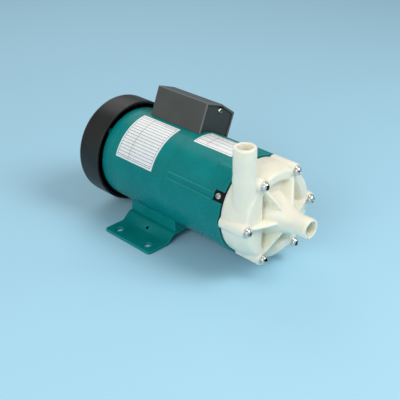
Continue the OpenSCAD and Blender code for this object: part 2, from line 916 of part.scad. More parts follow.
module cooling_fan() {
    root_r = fan_hub_r - sink;
    color(black) difference() {
        union() {
            rod(fan_hub_r, fan_x0, fan_x1);
            rod(fan_r - fan_disc_inset, fan_x1 - fan_disc_t, fan_x1);
            ring(fan_r - fan_disc_inset, fan_eye_r, fan_x0, fan_x0 + fan_shroud_t);
            circle_of(fan_blades, root_r) {
                translate([fan_x0, 0, -fan_blade_t / 2]) cube([fan_w, fan_r - root_r, fan_blade_t]);
            }
        }
        rod(shaft_r + fit_gap, fan_x0 - over, fan_x1 + over);
    }
}

module fan_retaining_ring() {
    bore = clip_r + fit_gap;
    color(steel) difference() {
        ring(shaft_r + clip_rim, bore, fan_x0 - clip_t + fit_gap, fan_x0 - fit_gap);
        around(90) translate([fan_x0 - clip_t - over, 0, -bore])
            cube([clip_t + 2 * over, shaft_r + 2 * clip_rim, 2 * bore]);
    }
}

module fan_cover() {
    in_r = cover_r - cover_wall;
    color(black) difference() {
        union() {
            turned(concat(
                [[0, cover_x0], [cover_r - cover_round, cover_x0]],
                [for (a = [15 : 15 : 90]) [
                    cover_r - cover_round + cover_round * sin(a),
                    cover_x0 + cover_round - cover_round * cos(a)
                ]],
                [[cover_r, cover_x1], [in_r, cover_x1], [in_r, cover_x0 + cover_round]],
                [[in_r - cover_round + cover_wall, cover_x0 + cover_wall], [0, cover_x0 + cover_wall]]
            ));
            circle_of(post_count, lug_circle_r, post_angle) peg(post_r, cover_x0 + sink, lug_x0);
        }
        difference() {
            for (i = [0 : grille_rings - 1]) {
                r = grille_in_r + i * (grille_slot + grille_rib);
                ring(r + grille_slot, r, cover_x0 - over, cover_x0 + cover_wall + over);
            }
            for (i = [0 : post_count - 1]) around(post_angle + 360 * i / post_count) {
                translate([cover_x0 - 2 * over, 0, -grille_spoke / 2])
                    cube([cover_wall + 4 * over, lug_circle_r, grille_spoke]);
            }
        }
        circle_of(post_count, lug_circle_r, post_angle) {
            peg(post_screw_r + thread_gap, cover_x0 - over, lug_x0 + over);
            peg(post_head_r + head_clear, cover_x0 - over, post_seat_x);
        }
    }
}

module fan_cover_screws() {
    length = shield_x0 + shield_round - tap_spare - post_seat_x;
    color(steel) circle_of(post_count, lug_circle_r, post_angle)
        translate([post_seat_x, 0, 0]) rotate([0, -90, 0])
            screw(post_head_r, post_head_h, post_screw_r, length);
}

// Half of the foot's section, from the shaft plane outwards, as [y, z]
function foot_half() = let (edge = foot_top_w / 2, under = foot_top - foot_sheet) [
    [edge - bend_run, foot_top], [edge, foot_top - bend_drop],
    [edge + web_run, foot_sheet], [foot_w / 2, foot_sheet], [foot_w / 2, 0],
    [edge + web_run - bend_drop, 0], [edge - bend_in, under - bend_drop / 2], [edge - 2 * bend_in, under]
];

module foot() {
    half = foot_half();
    color(teal) difference() {
        translate([-foot_len / 2, 0, 0]) rotate([90, 0, 90]) linear_extrude(foot_len) polygon(concat(
            half, [for (i = [len(half) - 1 : -1 : 0]) [-half[i][0], half[i][1]]]
        ));
        for (x = [-1, 1]) for (y = [-1, 1]) {
            translate([x * hole_pitch_x / 2, y * hole_pitch_y / 2, -over])
                cylinder(d = foot_hole_d, h = foot_sheet + 2 * over);
            translate([x * foot_screw_x, y * foot_screw_y, 0])
                cylinder(r = foot_screw_r + bolt_clear, h = foot_top + over);
            translate([x * foot_len / 2, y * foot_w / 2, -over]) rotate([0, 0, 45])
                cube([foot_corner, foot_corner, 4 * (foot_sheet + over)], center = true);
        }
        for (y = [-1, 1]) {
            translate([0, y * (foot_top_w / 2 + web_run / 2), foot_top / 2]) rotate([-y * 45, 0, 0])
                cylinder(r = web_hole_r, h = 3 * foot_sheet, center = true);
        }
    }
}

module foot_screws() {
    color(steel) for (x = [-1, 1]) for (y = [-1, 1]) {
        translate([x * foot_screw_x, y * foot_screw_y, foot_top - foot_sheet]) rotate([180, 0, 0])
            screw(foot_head_r, foot_head_h, foot_screw_r, foot_sheet + foot_tap - tap_spare);
    }
}

module rating_plate() {
    color(label_white) wrap(body_r + label_seat, label_t, plate_x0, plate_x0 + plate_len, plate_a0, plate_a1);
}

module housing_label() {
    color(label_white) wrap(housing_r + label_seat, label_t, label_x0, label_x1, label_a0, label_a1);
}

module terminal_box_base() {
    color(charcoal) difference() {
        box_frame() difference() {
            box_slab(box_wall + lid_gap, box_low, end_wall_x0, end_wall_x1);
            translate([end_wall_x0 + box_wall, -box_near, box_floor])
                cube([end_wall_x1 - end_wall_x0 - 2 * box_wall, box_near + box_far, box_top]);
            translate([lead_hole_x, 0, 0]) cylinder(r = lead_hole_r, h = box_top);
            lid_screw_bores(lid_screw_r + screw_clear);
            translate([box_x0, lid_screw_y - notch_w / 2, lid_screw_z])
                cube([box_len, notch_w, lid_screw_drop + box_ridge_rise]);
        }
        rod(body_r + box_seat, box_x0 - over, box_x1 + over);
        mount_screw_cuts(mount_screw_r + screw_clear);
    }
}

// Screw holes along the shaft at both ends of the box
module lid_screw_bores(r) {
    translate([box_x0 - over, lid_screw_y, lid_screw_z]) rotate([0, 90, 0])
        cylinder(r = r, h = box_len + 2 * over);
}

module terminal_box_lid() {
    lug_x = wall_recess + box_wall + lid_gap;
    color(charcoal) difference() {
        box_frame() difference() {
            union() {
                difference() {
                    box_slab(0, box_low, box_x0, box_x1);
                    box_slab(box_wall, box_low - over, box_x0 - over, box_x1 + over);
                }
                for (x = [box_x0 + lug_x, box_x1 - lug_x - lid_lug_len]) {
                    translate([x, lid_screw_y - lid_lug_w / 2, lid_screw_z - lid_lug_drop])
                        cube([lid_lug_len, lid_lug_w, lid_screw_drop + lid_lug_drop - box_wall + sink]);
                }
            }
            lid_screw_bores(lid_screw_r + thread_gap);
            translate([gland_x, 0, gland_z])
                cross_bar(gland_thread_r + thread_gap, gland_in_y - box_wall, gland_y0 + over);
        }
        rod(body_r + box_seat, box_x0 - over, box_x1 + over);
    }
}

module lid_screws() {
    length = box_wall + lid_gap + lid_lug_len - tap_spare;
    color(steel) box_frame() {
        translate([end_wall_x1, lid_screw_y, lid_screw_z]) rotate([0, 90, 0])
            screw(lid_head_r, lid_head_h, lid_screw_r, length);
        translate([end_wall_x0, lid_screw_y, lid_screw_z]) rotate([0, -90, 0])
            screw(lid_head_r, lid_head_h, lid_screw_r, length);
    }
}

module box_mount_screws() {
    color(steel) box_frame() for (y = [-1, 1]) {
        translate([mount_screw_x, y * mount_screw_y, box_floor])
            screw(mount_head_r, mount_head_h, mount_screw_r, box_floor_t + frame_wall + mount_tip);
    }
}

module run_capacitor() {
    color(label_white) box_frame() {
        translate([cap_x0, cap_y0, box_floor]) cube([cap_x1 - cap_x0, cap_w, cap_h]);
        for (share = [0.3, 0.7]) {
            translate([cap_x1 - sink, cap_y0 + share * cap_w, box_floor + cap_h / 2]) rotate([0, 90, 0])
                cylinder(r = cap_lead_r, h = cap_lead_len + sink);
        }
    }
}

module terminal_block() {
    pitch = block_w / block_ways;
    block_y0 = box_ridge_y - block_w / 2;
    color(black) box_frame() translate([block_x0, block_y0, box_floor]) difference() {
        cube([block_len, block_w, block_h]);
        for (i = [0 : block_ways - 1]) {
            translate([block_len / 2, (i + 0.5) * pitch, block_h - block_screw_depth])
                cylinder(r = block_screw_r, h = block_screw_depth + over);
            translate([-over, (i + 0.5) * pitch, block_wire_z]) rotate([0, 90, 0])
                cylinder(r = block_wire_r, h = block_len + 2 * over);
        }
    }
}

module cable_gland_body() {
    color(black) at_gland() difference() {
        union() {
            hex_bar(gland_hex_r, gland_y0, gland_y0 + gland_hex_t);
            cross_bar(gland_thread_r, gland_in_y - gland_inside, gland_tube_y1);
        }
        cross_bar(gland_bore_r, gland_in_y - gland_inside - over, gland_tube_y1 + over);
    }
}

module cable_gland_locknut() {
    color(black) at_gland() difference() {
        hex_bar(gland_hex_r, gland_in_y - gland_locknut_t, gland_in_y);
        cross_bar(gland_thread_r + thread_gap, gland_in_y - gland_locknut_t - over, gland_in_y + over);
    }
}

module cable_gland_nut() {
    color(black) at_gland() difference() {
        union() {
            hex_bar(gland_nut_r, gland_nut_y0, gland_nut_y1);
            translate([0, gland_nut_y1 - sink, 0]) rotate([-90, 0, 0]) cylinder(
                r1 = gland_nut_r - gland_dome_step, r2 = gland_mouth_r + gland_lip, h = gland_nut_dome + sink
            );
        }
        cross_bar(gland_thread_r + thread_gap, gland_nut_y0 - over, gland_nut_y1);
        cross_bar(gland_mouth_r, gland_nut_y0, gland_nut_y1 + gland_nut_dome + over);
    }
}

module cable_gland_seal() {
    y0 = gland_tube_y1 - gland_seal_len;
    color(black) at_gland() difference() {
        cross_bar(gland_bore_r - fit_gap, y0, gland_tube_y1);
        cross_bar(cable_hole_r, y0 - over, gland_tube_y1 + over);
    }
}

module drive_magnet_hub() {
    color(steel) difference() {
        turned([
            [shaft_r + fit_gap, hub_x0], [hub_r, hub_x0], [hub_r, cup_x0 - cup_floor],
            [cup_r - cup_bevel, cup_x0 - cup_floor], [cup_r, cup_x0 - cup_floor + cup_bevel],
            [cup_r, cup_x1], [drive_r, cup_x1], [drive_r, cup_x0], [shaft_r + fit_gap, cup_x0]
        ]);
        around(90) translate([set_screw_x, 0, 0]) rotate([-90, 0, 0])
            cylinder(r = set_screw_r + thread_gap, h = hub_r + over);
    }
}

module hub_set_screw() {
    tip = shaft_r + fit_gap;
    length = hub_r - tip - set_screw_sink;
    color(black) around(90) translate([set_screw_x, tip, 0]) rotate([-90, 0, 0]) difference() {
        cylinder(r = set_screw_r, h = length);
        translate([0, 0, length - set_screw_socket])
            cylinder(r = 0.5 * set_screw_r, h = set_screw_socket + over, $fn = 6);
    }
}

module drive_magnets() {
    pitch = 360 / drive_count;
    t = drive_t - fit_gap;
    color(magnet_grey) for (i = [0 : drive_count - 1]) {
        wrap(drive_in_r, t, magnet_x0, magnet_x0 + magnet_len, i * pitch, (i + 1) * pitch - magnet_space);
    }
}

module rear_casing() {
    groove_w = o_ring_r + groove_side;
    color(ivory) difference() {
        turned([
            [0, can_x0], [can_r - can_round, can_x0], [can_r, can_x0 + can_round],
            [can_r, casing_x0], [can_flange_r, casing_x0], [can_flange_r, can_face],
            [can_in_r, can_face], [can_in_r, can_x0 + can_end_t],
            [can_boss_r, can_x0 + can_end_t], [can_boss_r, boss_x1], [0, boss_x1]
        ]);
        rod(spindle_r + fit_gap, spindle_x0, boss_x1 + over);
        ring(
            o_ring_track_r + groove_w, o_ring_track_r - groove_w,
            can_face - 2 * o_ring_r + fit_gap, can_face + over
        );
    }
}

module casing_o_ring() {
    r = o_ring_r - fit_gap / 2;
    color(black) on_shaft() rotate_extrude() translate([o_ring_track_r, can_face - r])
        circle(r = r, $fn = 48);
}

module spindle() {
    color(ceramic_white) turned([
        [0, spindle_x0], [spindle_r - end_bevel, spindle_x0], [spindle_r, spindle_x0 + end_bevel],
        [spindle_r, spindle_x1 - end_bevel], [spindle_r - end_bevel, spindle_x1], [0, spindle_x1]
    ]);
}

module rear_thrust_ring() {
    color(ceramic_white) ring(thrust_r, spindle_r + fit_gap, boss_x1, boss_x1 + thrust_t);
}

module front_thrust_ring() {
    color(ceramic_white) ring(thrust_r, spindle_r + fit_gap, spider_x0 - thrust_t, spider_x0);
}

module magnet_capsule() {
    bore = bush_r + fit_gap;
    color(ivory) turned([
        [bore, capsule_x0], [driven_in_r - fit_gap, capsule_x0], [driven_in_r - fit_gap, driven_x1],
        [driven_r + fit_gap, driven_x1], [driven_r + fit_gap, capsule_x0], [capsule_r, capsule_x0],
        [capsule_r, capsule_x1], [bore, capsule_x1]
    ]);
}

module capsule_cap() {
    color(ivory) ring(driven_r, driven_in_r, capsule_x0, driven_x0);
}

module driven_magnet_ring() {
    color(magnet_grey) ring(driven_r, driven_in_r, driven_x0, driven_x1);
}

module impeller_bush() {
    color(charcoal) ring(bush_r, spindle_r + run_gap, capsule_x0, bush_x1);
}

module impeller() {
    bore = bush_r + fit_gap;
    vane_x0 = impeller_x0 + shroud_t;
    vane_x1 = impeller_x1 - shroud_t;
    color(ivory) difference() {
        union() {
            ring(impeller_r, bore, impeller_x0, vane_x0);
            ring(impeller_r, eye_r, vane_x1, impeller_x1);
            ring(impeller_hub_r, bore, impeller_x0, impeller_x1);
            intersection() {
                ring(impeller_r, impeller_hub_r - sink, vane_x0 - sink, vane_x1 + sink);
                for (i = [0 : vane_count - 1]) around(360 * i / vane_count) {
                    translate([vane_x0 - sink, eye_r - vane_root, 0]) rotate([vane_lean, 0, 0])
                        translate([0, 0, -vane_t / 2])
                            cube([vane_x1 - vane_x0 + 2 * sink, impeller_r, vane_t]);
                }
            }
        }
        rod(bore, impeller_x0 - over, impeller_x1 + over);
    }
}

// Outside of the inlet: a flare that runs out of the dish into the spigot
function inlet_outline() = concat(
    [[0, dish_x - sink], [flare_r, dish_x - sink]],
    [for (i = [0 : flare_steps]) let (t = i / flare_steps) [
        inlet_r + (flare_r - inlet_r) * pow(1 - t, flare_power), dish_x + flare_len * t
    ]],
    [for (a = [0 : 30 : 90]) [
        inlet_r - spigot_lip + spigot_lip * cos(a), inlet_tip - spigot_lip + spigot_lip * sin(a)
    ]],
    [[0, inlet_tip]]
);

// Hollow of the casing's front, with a straight side along the outlet
module dish() {
    intersection() {
        turned([
            [0, dish_x], [dish_r - dish_slope, dish_x], [dish_r, rim_x],
            [dish_r, flange_x + over], [0, flange_x + over]
        ]);
        translate([dish_x - over, outlet_y + outlet_r, 0])
            cube([dish_depth + 3 * over, 2 * casing_r, 2 * shaft_h]);
    }
}

module front_casing_outside() {
    difference() {
        union() {
            boss_section(casing_x0, rim_x - boss_step);
            circle_of(screw_count, screw_circle_r) peg(boss_r - boss_step, rim_x - 2 * over, flange_x);
            turned(concat(
                [[0, casing_x0], [casing_r, casing_x0], [casing_r, casing_x0 + casing_band]],
                [for (a = [0 : 15 : 90]) [
                    rim_r - rim_round + rim_round * cos(a), rim_x - rim_round + rim_round * sin(a)
                ]],
                [[0, rim_x]]
            ));
            translate([outlet_x, outlet_y, shaft_h]) rotate_extrude() polygon(concat(
                [[0, 0], [outlet_neck_r, 0], [outlet_neck_r, outlet_neck_z - outlet_neck_fall]],
                [[outlet_r, outlet_neck_z]],
                [for (a = [0 : 30 : 90]) [
                    outlet_r - spigot_lip + spigot_lip * cos(a),
                    outlet_top - spigot_lip + spigot_lip * sin(a)
                ]],
                [[0, outlet_top]]
            ));
        }
        dish();
    }
    turned(inlet_outline());
    for (i = [0 : screw_count - 1]) around(360 * i / screw_count) {
        translate([0, 0, -rib_t / 2]) linear_extrude(rib_t) polygon([
            [dish_x - sink, rib_in_r], [dish_x - sink, rib_out_r],
            [flange_x, rib_out_r], [flange_x + rib_rise, rib_in_r]
        ]);
    }
}

module front_casing() {
    seat_r = can_flange_r + fit_gap;
    vane_x0 = chamber_x1 + front_gap;
    color(ivory) {
        difference() {
            front_casing_outside();
            turned([
                [0, casing_x0 - over], [seat_r, casing_x0 - over], [seat_r, can_face],
                [chamber_r, can_face], [chamber_r, chamber_x1], [throat_r, chamber_x1], [throat_r, throat_x1],
                [inlet_bore_r, throat_x1 + throat_taper], [inlet_bore_r, inlet_tip + over],
                [0, inlet_tip + over]
            ]);
            translate([outlet_x, outlet_y, shaft_h]) rotate_extrude() polygon([
                [0, -outlet_run], [outlet_throat_r, -outlet_run], [outlet_throat_r, outlet_throat_z],
                [outlet_bore_r, outlet_neck_z], [outlet_bore_r, outlet_top + over], [0, outlet_top + over]
            ]);
            casing_holes(casing_hole_r, casing_x0 - over, flange_x + over);
        }
        difference() {
            union() {
                rod(spider_hub_r, spider_x0, spider_x0 + spider_len);
                for (i = [0 : spider_count - 1]) around(spider_angle + 360 * i / spider_count) {
                    translate([vane_x0, 0, -spider_vane_t / 2])
                        cube([spider_x0 + spider_len - vane_x0, throat_r + sink, spider_vane_t]);
                }
            }
            rod(spindle_r + fit_gap, spider_x0 - over, spindle_x1 + screw_clear);
        }
    }
}

module casing_screws() {
    seat = flange_x + washer_t;
    length = seat - housing_x1 + tap_depth - tap_spare;
    color(steel) circle_of(screw_count, screw_circle_r) translate([seat, 0, 0]) rotate([0, 90, 0])
        screw(casing_head_r, casing_head_h, casing_screw_r, length);
}

module casing_washers() {
    color(steel) circle_of(screw_count, screw_circle_r) translate([flange_x, 0, 0]) rotate([0, 90, 0])
        difference() {
            cylinder(r = washer_r, h = washer_t);
            translate([0, 0, -over]) cylinder(r = casing_hole_r, h = washer_t + 2 * over);
        }
}

motor_frame();
rear_end_shield();
front_housing();
tie_bolts();
stator_core();
stator_windings();
rotor_core();
rotor_end_rings();
motor_shaft();
rear_bearing_outer_race();
rear_bearing_inner_race();
rear_bearing_balls();
rear_bearing_cage();
front_bearing_outer_race();
front_bearing_inner_race();
front_bearing_balls();
front_bearing_cage();
preload_washer();
cooling_fan();
fan_retaining_ring();
fan_cover();
fan_cover_screws();
foot();
foot_screws();
rating_plate();
housing_label();
terminal_box_base();
terminal_box_lid();
lid_screws();
box_mount_screws();
run_capacitor();
terminal_block();
cable_gland_body();
cable_gland_nut();
cable_gland_seal();
cable_gland_locknut();
adapter_ring();
adapter_screws();
drive_magnet_hub();
drive_magnets();
hub_set_screw();
rear_casing();
casing_o_ring();
spindle();
rear_thrust_ring();
front_thrust_ring();
magnet_capsule();
capsule_cap();
driven_magnet_ring();
impeller_bush();
impeller();
front_casing();
casing_screws();
casing_washers();
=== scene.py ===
import json
import math

import bmesh
import bpy
from mathutils import Matrix, Vector


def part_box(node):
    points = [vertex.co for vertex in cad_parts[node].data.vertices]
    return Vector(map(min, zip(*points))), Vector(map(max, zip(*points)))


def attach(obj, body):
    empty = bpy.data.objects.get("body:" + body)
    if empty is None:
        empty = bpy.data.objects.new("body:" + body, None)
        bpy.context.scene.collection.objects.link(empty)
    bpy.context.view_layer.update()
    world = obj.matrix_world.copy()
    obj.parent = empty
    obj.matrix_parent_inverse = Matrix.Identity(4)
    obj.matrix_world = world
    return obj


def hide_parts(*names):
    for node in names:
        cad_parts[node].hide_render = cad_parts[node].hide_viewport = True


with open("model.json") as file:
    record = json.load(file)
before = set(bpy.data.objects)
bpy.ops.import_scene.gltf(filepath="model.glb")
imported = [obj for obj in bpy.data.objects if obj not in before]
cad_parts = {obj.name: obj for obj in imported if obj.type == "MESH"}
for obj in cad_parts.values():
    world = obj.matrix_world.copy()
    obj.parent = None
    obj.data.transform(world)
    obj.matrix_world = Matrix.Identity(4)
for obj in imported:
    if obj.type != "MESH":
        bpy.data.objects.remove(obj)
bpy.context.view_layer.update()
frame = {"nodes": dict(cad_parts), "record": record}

MM = 0.001
bpy.context.scene.view_settings.view_transform = "Standard"

# Which body and which material slot each node belongs to
BODIES = frame["record"]["behaviour"]["bodies"]
BODY_OF = {node: body for body, members in BODIES.items() for node in members}
SLOT_OF = {row["node"]: row["material_slot"] for row in frame["record"]["subparts"]}

# Height of the shaft's axis above the floor
shaft_low, shaft_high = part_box("motor_shaft")
SHAFT_H = (shaft_low.z + shaft_high.z) / 2


# Materials

# Nearly all values of a noise texture lie between these
NOISE_LOW, NOISE_HIGH = 0.3, 0.7


def add(tree, kind, inputs=None, **settings):
    """New shader node, with its settings, and its inputs linked or set."""
    node = tree.nodes.new(kind)
    for key, value in settings.items():
        setattr(node, key, value)
    for key, value in (inputs or {}).items():
        if isinstance(value, bpy.types.NodeSocket):
            tree.links.new(value, node.inputs[key])
        else:
            node.inputs[key].default_value = value
    return node


def colours(tree, factor, dark, light, start=NOISE_LOW, stop=NOISE_HIGH):
    """Colour that runs from dark to light as factor goes from start to stop."""
    node = add(tree, "ShaderNodeValToRGB", {"Fac": factor})
    for element, place, colour in zip(node.color_ramp.elements, (start, stop), (dark, light)):
        element.position = place
        element.color = (*colour, 1.0)
    return node.outputs["Color"]


def levels(tree, factor, low, high):
    """Number that runs from low to high as a noise texture goes over its range."""
    node = add(tree, "ShaderNodeMapRange", {
        "Value": factor, "From Min": NOISE_LOW, "From Max": NOISE_HIGH, "To Min": low, "To Max": high,
    })
    return node.outputs["Result"]


def calc(tree, operation, *numbers):
    """Result of an operation on one to three numbers or sockets."""
    return add(tree, "ShaderNodeMath", dict(enumerate(numbers)), operation=operation).outputs["Value"]


def tinted(tree, factor, first, second):
    """Colour socket that goes from the first colour to the second, a plain one, with factor."""
    inputs = {"Fac": factor, "Color1": first, "Color2": (*second, 1.0)}
    return add(tree, "ShaderNodeMixRGB", inputs).outputs["Color"]


def finish(
    name, dark, light, rough,
    mottle=45.0, grain=900.0, relief=0.03, stretch=(1, 1, 1), edge_sheen=None, sockets=None,
):
    """Material with mottled colour and a fine grain. Relief is in millimetres; the edge colour is a painted
    highlight on rounded edges.
    """
    material = bpy.data.materials.new(name)
    material.use_nodes = True
    tree = material.node_tree
    shader = tree.nodes["Principled BSDF"]
    place = add(tree, "ShaderNodeTexCoord").outputs["Object"]
    along = add(tree, "ShaderNodeMapping", {"Vector": place, "Scale": stretch}).outputs["Vector"]
    patches = add(tree, "ShaderNodeTexNoise", {"Vector": along, "Scale": mottle, "Detail": 4.0})
    grains = add(tree, "ShaderNodeTexNoise", {"Vector": along, "Scale": grain, "Detail": 3.0})
    bump = add(tree, "ShaderNodeBump", {
        "Height": grains.outputs["Fac"], "Strength": 1.0, "Distance": relief * MM,
    })
    tint = colours(tree, patches.outputs["Fac"], dark, light)
    # Painted highlight: the rounded edges take a lighter colour.
    if edge_sheen:
        edge = add(tree, "ShaderNodeAttribute", attribute_name="edge").outputs["Fac"]
        tint = tinted(tree, edge, tint, edge_sheen)
    tree.links.new(tint, shader.inputs["Base Color"])
    tree.links.new(levels(tree, grains.outputs["Fac"], *rough), shader.inputs["Roughness"])
    tree.links.new(bump.outputs["Normal"], shader.inputs["Normal"])
    for key, value in (sockets or {}).items():
        shader.inputs[key].default_value = value
    return material


def metal(name, dark, light, rough, stretch=(1, 12, 12), relief=0.008):
    """Bare metal. Its grain is finer along an axis with a larger stretch."""
    return finish(
        name, dark, light, rough,
        mottle=90, grain=500, relief=relief, stretch=stretch, sockets={"Metallic": 1.0},
    )


# The lighter edge colours below are painted highlights on rounded edges.
FINISHES = {
    "teal_paint": finish(
        "teal_paint", (0.001, 0.190, 0.187), (0.002, 0.228, 0.223), (0.24, 0.34),
        grain=420, relief=0.012, edge_sheen=(0.010, 0.29, 0.29), sockets={"Specular IOR Level": 0.14},
    ),
    "black_plastic": finish(
        "black_plastic", (0.010, 0.011, 0.011), (0.017, 0.018, 0.017), (0.30, 0.42),
        grain=1200, relief=0.02, edge_sheen=(0.03, 0.03, 0.03), sockets={"Specular IOR Level": 0.24},
    ),
    "charcoal_plastic": finish(
        "charcoal_plastic", (0.056, 0.060, 0.053), (0.072, 0.077, 0.068), (0.36, 0.48),
        grain=1500, relief=0.03, edge_sheen=(0.13, 0.13, 0.12),
    ),
    "casing_plastic": finish(
        "casing_plastic", (0.83, 0.80, 0.67), (0.87, 0.84, 0.72), (0.34, 0.46),
        mottle=30, grain=300, relief=0.012,
        sockets={
            "Subsurface Weight": 0.6, "Subsurface Radius": (1.0, 1.0, 0.6), "Subsurface Scale": 5.0 * MM,
        },
    ),
    "stainless": metal(
        "stainless", (0.66, 0.64, 0.60), (0.84, 0.82, 0.78), (0.24, 0.38), stretch=(1, 1, 1),
    ),
    "bearing_steel": metal("bearing_steel", (0.60, 0.60, 0.62), (0.72, 0.72, 0.74), (0.08, 0.18)),
    "machined_steel": metal(
        "machined_steel", (0.45, 0.45, 0.47), (0.60, 0.60, 0.62), (0.22, 0.38), stretch=(30, 1, 1),
    ),
    "black_steel": metal("black_steel", (0.03, 0.03, 0.03), (0.06, 0.06, 0.06), (0.30, 0.45)),
    "lamination_steel": metal(
        "lamination_steel", (0.20, 0.21, 0.22), (0.36, 0.37, 0.39), (0.35, 0.55),
        stretch=(12, 1, 1), relief=0.06,
    ),
    "cast_aluminium": metal(
        "cast_aluminium", (0.50, 0.51, 0.52), (0.66, 0.67, 0.68), (0.36, 0.52),
        stretch=(1, 1, 1), relief=0.05,
    ),
    "copper_wire": metal(
        "copper_wire", (0.32, 0.11, 0.04), (0.55, 0.22, 0.09), (0.24, 0.42), stretch=(4, 1, 1), relief=0.20,
    ),
    "brass_cage": metal("brass_cage", (0.50, 0.34, 0.12), (0.66, 0.46, 0.18), (0.22, 0.36)),
    "magnet": finish("magnet", (0.045, 0.045, 0.048), (0.075, 0.075, 0.08), (0.45, 0.62), relief=0.06),
    "ceramic": finish("ceramic", (0.74, 0.72, 0.67), (0.82, 0.80, 0.76), (0.16, 0.26), relief=0.01),
    "carbon_bush": finish("carbon_bush", (0.018, 0.018, 0.018), (0.03, 0.03, 0.03), (0.32, 0.46)),
    "seal_rubber": finish(
        "seal_rubber", (0.012, 0.012, 0.012), (0.020, 0.020, 0.020), (0.55, 0.72), relief=0.05,
    ),
    "label_film": finish(
        "label_film", (0.82, 0.84, 0.84), (0.88, 0.90, 0.90), (0.24, 0.36), grain=300, relief=0.01,
    ),
    "capacitor_case": finish("capacitor_case", (0.55, 0.55, 0.52), (0.64, 0.64, 0.61), (0.40, 0.55)),
}

# Print on the labels
LABEL_INK = (0.16, 0.18, 0.19)
LABEL_MARGIN = 1.6 * MM
LABEL_LINE = 0.45 * MM


def ruled_film(node, pitch, column):
    """Film of a label round the shaft: a border, rules a pitch apart along it, and one across at column."""
    material = FINISHES["label_film"].copy()
    material.name = node + "_film"
    tree = material.node_tree
    corners = [vertex.co for vertex in frame["nodes"][node].data.vertices]
    angles = [math.atan2(corner.z - SHAFT_H, corner.y) for corner in corners]
    places = [corner.x for corner in corners]
    radius = max(math.hypot(corner.y, corner.z - SHAFT_H) for corner in corners)
    half_len = (max(places) - min(places)) / 2 - LABEL_MARGIN
    half_arc = (max(angles) - min(angles)) / 2 * radius - LABEL_MARGIN

    place = add(tree, "ShaderNodeTexCoord").outputs["Object"]
    axes = add(tree, "ShaderNodeSeparateXYZ", {0: place}).outputs
    along = calc(tree, "SUBTRACT", axes["X"], (max(places) + min(places)) / 2)
    angle = calc(tree, "ARCTAN2", calc(tree, "SUBTRACT", axes["Z"], SHAFT_H), axes["Y"])
    around = calc(tree, "MULTIPLY", calc(tree, "SUBTRACT", angle, (max(angles) + min(angles)) / 2), radius)
    outside = calc(
        tree, "MAXIMUM",
        calc(tree, "SUBTRACT", calc(tree, "ABSOLUTE", along), half_len),
        calc(tree, "SUBTRACT", calc(tree, "ABSOLUTE", around), half_arc),
    )
    border = calc(tree, "GREATER_THAN", outside, -LABEL_LINE)
    step = calc(tree, "FRACT", calc(tree, "DIVIDE", around, pitch))
    rule = calc(tree, "LESS_THAN", step, LABEL_LINE / pitch)
    divider = calc(tree, "COMPARE", along, column, LABEL_LINE / 2)
    lines = calc(tree, "MAXIMUM", border, calc(tree, "MAXIMUM", rule, divider))
    printed = calc(tree, "MULTIPLY", calc(tree, "LESS_THAN", outside, 0.0), lines)

    base = tree.nodes["Principled BSDF"].inputs["Base Color"]
    tree.links.new(tinted(tree, printed, base.links[0].from_socket, LABEL_INK), base)
    return material


# Finish of the nodes that differ from the rest of their slot
OWN_FINISH = {
    # Painted shade: a darker copy of the lid's charcoal plastic, so that the box's end wall looks shaded.
    "terminal_box_base": finish(
        "box_plastic_painted_shade", (0.034, 0.036, 0.034), (0.046, 0.048, 0.045), (0.40, 0.52),
        grain=1500, relief=0.03, sockets={"Specular IOR Level": 0.3},
    ),
    # Painted shade: a darker copy of the black plastic for the ring and its tab, which sit in shadow.
    "adapter_ring": finish(
        "ring_plastic_painted_shade", (0.005, 0.005, 0.005), (0.009, 0.009, 0.009), (0.30, 0.42),
        relief=0.02, sockets={"Specular IOR Level": 0.15},
    ),
    "rating_plate": ruled_film("rating_plate", pitch=3.0 * MM, column=-8.0 * MM),
    "housing_label": ruled_film("housing_label", pitch=5.0 * MM, column=-9.0 * MM),
}


def paint(piece, node):
    """Gives the piece that node's finish."""
    piece.data.materials.clear()
    piece.data.materials.append(OWN_FINISH.get(node, FINISHES[SLOT_OF[node]]))


# Pieces

def dress(piece, node):
    """The piece stands for that node: same body, same finish, same material slot."""
    paint(piece, node)
    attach(piece, BODY_OF[node])
    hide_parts(node)


def node_mesh(node, seam):
    """The node's mesh, with corners that are closer than seam made one."""
    mesh = bmesh.new()
    mesh.from_mesh(frame["nodes"][node].data)
    bmesh.ops.remove_doubles(mesh, verts=mesh.verts, dist=seam)
    return mesh


def smooth_object(name, mesh):
    """Object from a bmesh, shaded smooth."""
    data = bpy.data.meshes.new(name)
    mesh.to_mesh(data)
    mesh.free()
    data.shade_smooth()
    piece = bpy.data.objects.new(name, data)
    bpy.context.scene.collection.objects.link(piece)
    return piece


def moulded(node, cell, passes, share, seam=0.001 * MM):
    """Piece in the shape of a node with every edge softened, as on a moulding.

    Cell is the size of its mesh, passes how often that is smoothed, and share what is kept of its faces.
    """
    piece = smooth_object(node + "_form", node_mesh(node, seam))
    skin = piece.modifiers.new("skin", "REMESH")
    skin.mode = "VOXEL"
    skin.voxel_size = cell
    skin.use_smooth_shade = True
    soften = piece.modifiers.new("soften", "SMOOTH")
    soften.factor = 0.5
    soften.iterations = passes
    piece.modifiers.new("thin", "DECIMATE").ratio = share
    dress(piece, node)


